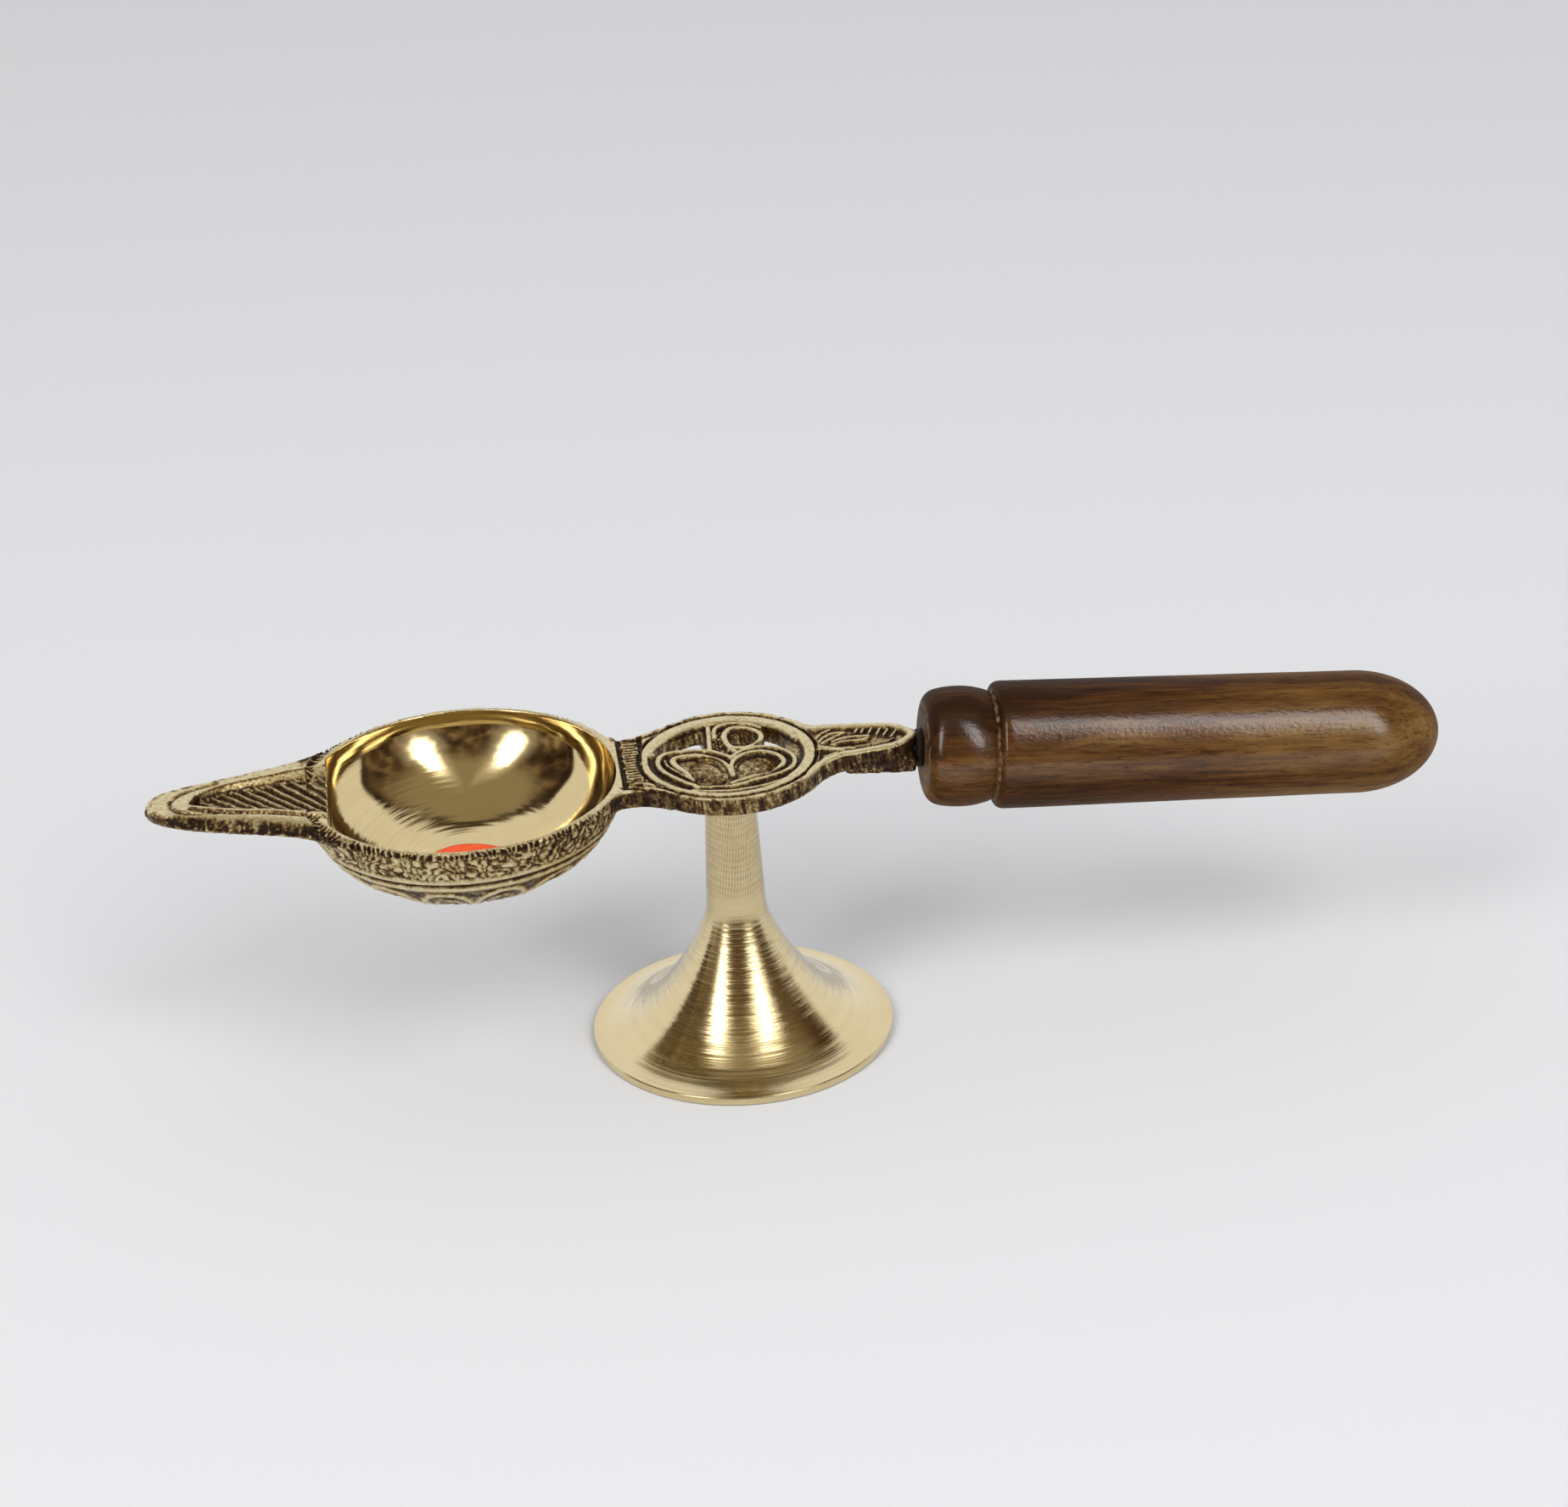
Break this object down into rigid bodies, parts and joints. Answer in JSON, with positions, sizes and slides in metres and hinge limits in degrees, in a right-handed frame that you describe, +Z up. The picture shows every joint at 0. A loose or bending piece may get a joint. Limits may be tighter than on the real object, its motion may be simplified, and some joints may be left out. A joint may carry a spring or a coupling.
{
  "type": "diya oil lamp",
  "caption": "Brass hand lamp with a round oil bowl, pointed wick spout, pierced medallion, turned trumpet foot and turned wooden handle.",
  "frame": {"origin": "centre of the foot's resting circle, on the surface that the lamp stands on", "axes": "+Z up along the foot's stem; +X along the lamp towards the handle, so the wick spout points to -X"},
  "size_m": [0.253, 0.062, 0.0701],
  "materials": {
    "cast_brass": "satin",
    "turned_brass": "polished",
    "steel": "satin",
    "wood": "gloss",
    "resin": "satin",
    "label_paper": "matte"
  },
  "bodies": {
    "standing_foot": {"foot": "turned_brass"},
    "washer": {"foot_lock_washer": "steel"},
    "head": {"lamp_casting": "cast_brass", "foot_stud": "steel", "handle": "wood", "handle_rod": "steel", "handle_resin": "resin", "price_label": "label_paper"}
  },
  "joints": [
    {"name": "head_lift", "type": "slide", "parent": "standing_foot", "child": "washer", "axis": [0, 0, 1], "range_m": [0, 0.0078]},
    {"name": "head_unscrew", "type": "hinge", "parent": "washer", "child": "head", "pos_m": [0, 0, 0.054], "axis": [0, 0, 1], "range_deg": [0, 3510]}
  ],
  "couplings": [
    {"joint": "head_lift", "follows": "head_unscrew", "m_per_rad": 0.00012732}
  ]
}
